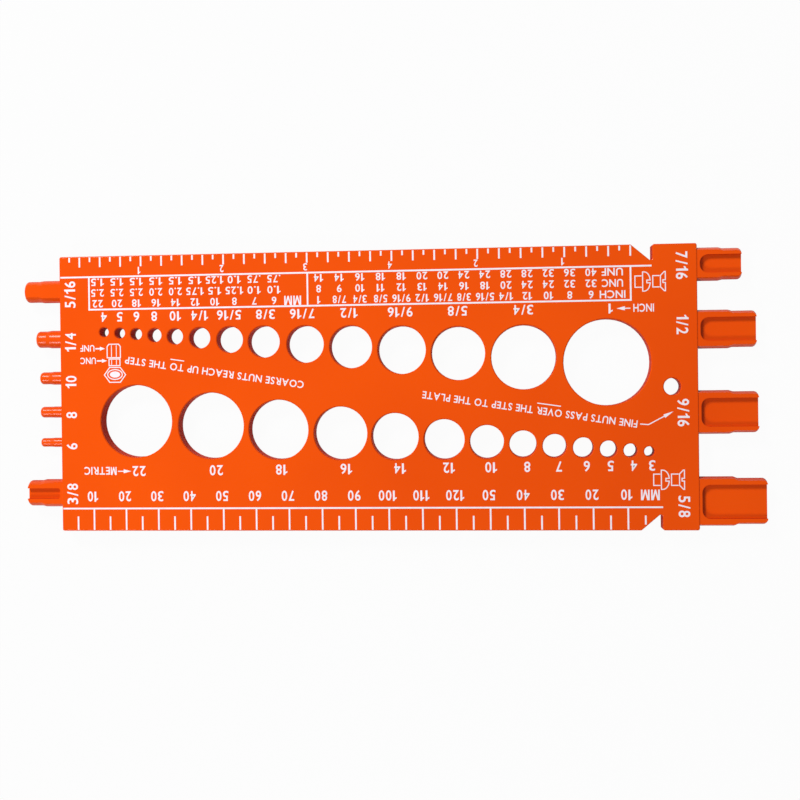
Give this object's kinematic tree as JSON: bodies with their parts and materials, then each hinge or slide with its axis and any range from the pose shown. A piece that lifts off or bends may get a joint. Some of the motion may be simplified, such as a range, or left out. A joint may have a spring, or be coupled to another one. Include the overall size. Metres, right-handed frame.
{
  "type": "bolt thread gauge",
  "caption": "Flat moulded gauge with graded holes for bolts, stepped posts for nuts, and a ruler along each long edge.",
  "frame": {"origin": "under the middle of the gauge, posts included, on the plane of its back face", "axes": "+X runs from the rulers' zero end towards the large posts, +Y towards the inch ruler, +Z out of the printed face"},
  "size_m": [0.2212, 0.0834, 0.006],
  "materials": {
    "orange_plastic": "satin moulded plastic",
    "white_ink": "printed ink"
  },
  "bodies": {
    "root": {"gauge_plate": "orange_plastic", "ruler_marks": "white_ink"}
  },
  "joints": []
}
